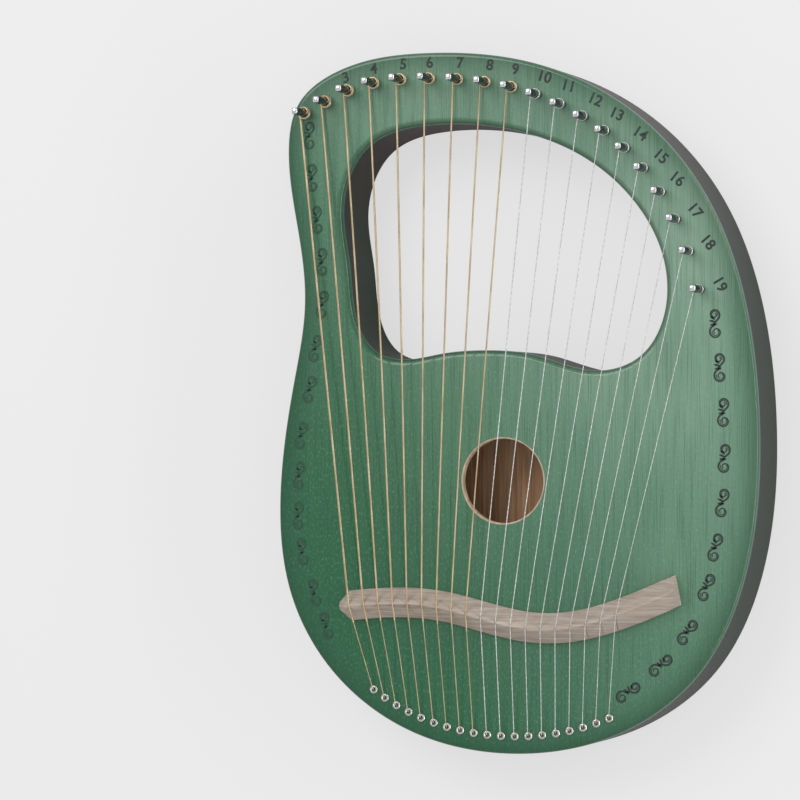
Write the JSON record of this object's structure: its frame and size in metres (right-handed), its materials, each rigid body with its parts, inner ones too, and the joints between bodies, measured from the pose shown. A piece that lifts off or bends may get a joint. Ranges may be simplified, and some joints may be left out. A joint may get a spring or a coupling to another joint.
{
  "type": "lyre harp",
  "caption": "Lyre harp with a stained hollow box body, an arch of tuning pins over an open window, a wavy bridge and strings that run on to eyelets at the tail",
  "frame": {"origin": "under the middle of the harp's bounding box, on the underside of the back board", "axes": "+X towards the shortest string, +Y towards the arch that carries the tuning pins, +Z out of the soundboard"},
  "size_m": [0.3102, 0.4341, 0.069],
  "materials": {
    "stained_face": "green stain under high gloss lacquer",
    "stained_side": "dark stain under high gloss lacquer",
    "bare_wood": "unfinished, sanded",
    "maple": "oiled",
    "pin_steel": "dark nickel plating",
    "wound_bronze": "bronze wire wound on a steel core",
    "plain_steel": "drawn bright"
  },
  "bodies": {
    "harp": {"back_board": "stained_side", "bridge": "maple", "left_arm": "stained_side", "left_rib": "stained_side", "lower_back_brace": "bare_wood", "lower_soundboard_brace": "bare_wood", "pin_block": "stained_side", "right_arm": "stained_side", "right_rib": "stained_side", "soundboard": "stained_face", "string_01": "wound_bronze", "string_02": "wound_bronze", "string_03": "wound_bronze", "string_04": "wound_bronze", "string_05": "wound_bronze", "string_06": "wound_bronze", "string_07": "wound_bronze", "string_08": "wound_bronze", "string_09": "wound_bronze", "string_10": "plain_steel", "string_11": "plain_steel", "string_12": "plain_steel", "string_13": "plain_steel", "string_14": "plain_steel", "string_15": "plain_steel", "string_16": "plain_steel", "string_17": "plain_steel", "string_18": "plain_steel", "string_19": "plain_steel", "tail_block": "stained_side", "upper_back_brace": "bare_wood", "upper_soundboard_brace": "bare_wood", "window_rail": "stained_side"},
    "pin_01": {"tuning_pin_01": "pin_steel"},
    "pin_02": {"tuning_pin_02": "pin_steel"},
    "pin_03": {"tuning_pin_03": "pin_steel"},
    "pin_04": {"tuning_pin_04": "pin_steel"},
    "pin_05": {"tuning_pin_05": "pin_steel"},
    "pin_06": {"tuning_pin_06": "pin_steel"},
    "pin_07": {"tuning_pin_07": "pin_steel"},
    "pin_08": {"tuning_pin_08": "pin_steel"},
    "pin_09": {"tuning_pin_09": "pin_steel"},
    "pin_10": {"tuning_pin_10": "pin_steel"},
    "pin_11": {"tuning_pin_11": "pin_steel"},
    "pin_12": {"tuning_pin_12": "pin_steel"},
    "pin_13": {"tuning_pin_13": "pin_steel"},
    "pin_14": {"tuning_pin_14": "pin_steel"},
    "pin_15": {"tuning_pin_15": "pin_steel"},
    "pin_16": {"tuning_pin_16": "pin_steel"},
    "pin_17": {"tuning_pin_17": "pin_steel"},
    "pin_18": {"tuning_pin_18": "pin_steel"},
    "pin_19": {"tuning_pin_19": "pin_steel"}
  },
  "joints": [
    {"name": "pin_01_turn", "type": "hinge", "parent": "harp", "child": "pin_01", "pos_m": [-0.13721, 0.18078, 0.048], "axis": [0, 0, -1], "range_deg": [-900, 45]},
    {"name": "pin_02_turn", "type": "hinge", "parent": "harp", "child": "pin_02", "pos_m": [-0.12315, 0.1881, 0.048], "axis": [0, 0, -1], "range_deg": [-900, 45]},
    {"name": "pin_03_turn", "type": "hinge", "parent": "harp", "child": "pin_03", "pos_m": [-0.10829, 0.19442, 0.048], "axis": [0, 0, -1], "range_deg": [-900, 45]},
    {"name": "pin_04_turn", "type": "hinge", "parent": "harp", "child": "pin_04", "pos_m": [-0.09139, 0.19859, 0.048], "axis": [0, 0, -1], "range_deg": [-900, 45]},
    {"name": "pin_05_turn", "type": "hinge", "parent": "harp", "child": "pin_05", "pos_m": [-0.07344, 0.20043, 0.048], "axis": [0, 0, -1], "range_deg": [-900, 45]},
    {"name": "pin_06_turn", "type": "hinge", "parent": "harp", "child": "pin_06", "pos_m": [-0.05474, 0.20042, 0.048], "axis": [0, 0, -1], "range_deg": [-900, 45]},
    {"name": "pin_07_turn", "type": "hinge", "parent": "harp", "child": "pin_07", "pos_m": [-0.03616, 0.19938, 0.048], "axis": [0, 0, -1], "range_deg": [-900, 45]},
    {"name": "pin_08_turn", "type": "hinge", "parent": "harp", "child": "pin_08", "pos_m": [-0.01816, 0.19723, 0.048], "axis": [0, 0, -1], "range_deg": [-900, 45]},
    {"name": "pin_09_turn", "type": "hinge", "parent": "harp", "child": "pin_09", "pos_m": [-0.00098, 0.19357, 0.048], "axis": [0, 0, -1], "range_deg": [-900, 45]},
    {"name": "pin_10_turn", "type": "hinge", "parent": "harp", "child": "pin_10", "pos_m": [0.01539, 0.18853, 0.048], "axis": [0, 0, -1], "range_deg": [-900, 45]},
    {"name": "pin_11_turn", "type": "hinge", "parent": "harp", "child": "pin_11", "pos_m": [0.03097, 0.18211, 0.048], "axis": [0, 0, -1], "range_deg": [-900, 45]},
    {"name": "pin_12_turn", "type": "hinge", "parent": "harp", "child": "pin_12", "pos_m": [0.04568, 0.17427, 0.048], "axis": [0, 0, -1], "range_deg": [-900, 45]},
    {"name": "pin_13_turn", "type": "hinge", "parent": "harp", "child": "pin_13", "pos_m": [0.05943, 0.16496, 0.048], "axis": [0, 0, -1], "range_deg": [-900, 45]},
    {"name": "pin_14_turn", "type": "hinge", "parent": "harp", "child": "pin_14", "pos_m": [0.07231, 0.15421, 0.048], "axis": [0, 0, -1], "range_deg": [-900, 45]},
    {"name": "pin_15_turn", "type": "hinge", "parent": "harp", "child": "pin_15", "pos_m": [0.08411, 0.14163, 0.048], "axis": [0, 0, -1], "range_deg": [-900, 45]},
    {"name": "pin_16_turn", "type": "hinge", "parent": "harp", "child": "pin_16", "pos_m": [0.09478, 0.12704, 0.048], "axis": [0, 0, -1], "range_deg": [-900, 45]},
    {"name": "pin_17_turn", "type": "hinge", "parent": "harp", "child": "pin_17", "pos_m": [0.10436, 0.11031, 0.048], "axis": [0, 0, -1], "range_deg": [-900, 45]},
    {"name": "pin_18_turn", "type": "hinge", "parent": "harp", "child": "pin_18", "pos_m": [0.11256, 0.09074, 0.048], "axis": [0, 0, -1], "range_deg": [-900, 45]},
    {"name": "pin_19_turn", "type": "hinge", "parent": "harp", "child": "pin_19", "pos_m": [0.1193, 0.06764, 0.048], "axis": [0, 0, -1], "range_deg": [-900, 45]}
  ]
}
